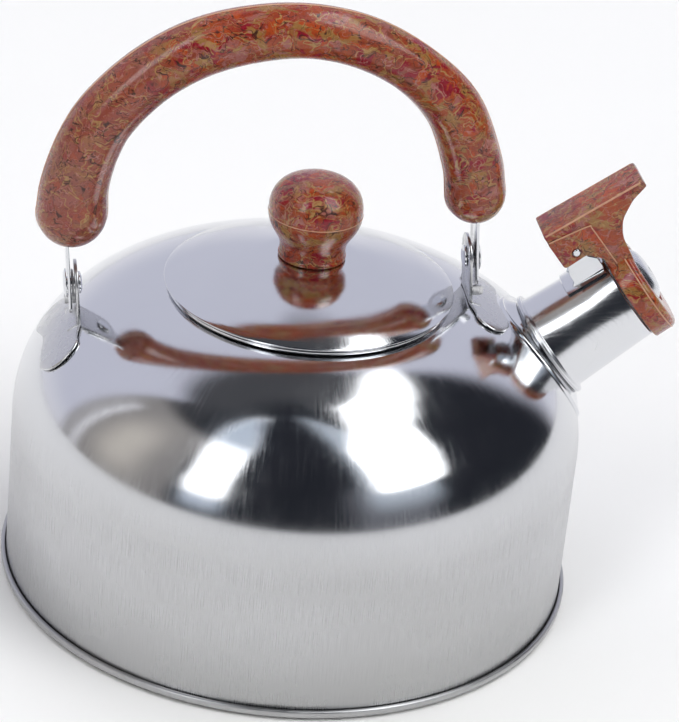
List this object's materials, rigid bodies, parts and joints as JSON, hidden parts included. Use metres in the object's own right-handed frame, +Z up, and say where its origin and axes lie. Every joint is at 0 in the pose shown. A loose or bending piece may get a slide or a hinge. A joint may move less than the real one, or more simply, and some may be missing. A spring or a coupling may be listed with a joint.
{
  "type": "stovetop whistling kettle",
  "caption": "Polished steel stovetop kettle with a domed body, lift-off knobbed lid, swinging moulded grip and a sprung whistle cap on a short spout",
  "frame": {"origin": "centre of the flat underside of the base, where it stands on the stove", "axes": "+Z up, +X towards the spout, +Y to the left of someone looking along +X"},
  "size_m": [0.2174, 0.1904, 0.2001],
  "materials": {
    "polished_steel": "mirror-polished stainless steel, satin on the lower wall",
    "satin_steel": "fine satin stainless steel",
    "marbled_moulding": "glossy phenolic moulding, marbled red-brown with ochre and dark red",
    "insert_brass": "turned brass"
  },
  "bodies": {
    "vessel": {"body_shell": "polished_steel", "base_plate": "satin_steel", "spout_tube": "polished_steel", "cap_bracket": "polished_steel", "cap_pin": "satin_steel", "cap_spring": "satin_steel", "handle_lug_left": "polished_steel", "handle_lug_right": "polished_steel"},
    "handle": {"handle_grip": "marbled_moulding", "handle_strap_left": "polished_steel", "handle_strap_right": "polished_steel", "handle_washer_left": "satin_steel", "handle_washer_right": "satin_steel", "handle_rivet_left": "polished_steel", "handle_rivet_right": "polished_steel"},
    "lid": {"lid_cover": "polished_steel", "lid_skirt": "polished_steel", "lid_knob": "marbled_moulding", "knob_insert": "insert_brass", "knob_screw": "satin_steel", "knob_washer": "satin_steel"},
    "whistle_cap": {"cap_lever": "marbled_moulding", "whistle_dome": "polished_steel", "whistle_plate": "polished_steel"}
  },
  "joints": [
    {"name": "handle_swing", "type": "hinge", "parent": "vessel", "child": "handle", "pos_m": [-0.012, 0, 0.1092], "axis": [0.9952, 0, 0.0979], "range_deg": [-7, 7]},
    {"name": "lid_lift", "type": "slide", "parent": "vessel", "child": "lid", "axis": [0, 0, 1], "range_m": [0, 0.019]},
    {"name": "cap_open", "type": "hinge", "parent": "vessel", "child": "whistle_cap", "pos_m": [0.08472, 0, 0.12089], "axis": [0, -1, 0], "range_deg": [0, 50], "stiffness_Nm_per_rad": 0.06, "springref_deg": -20.05}
  ]
}
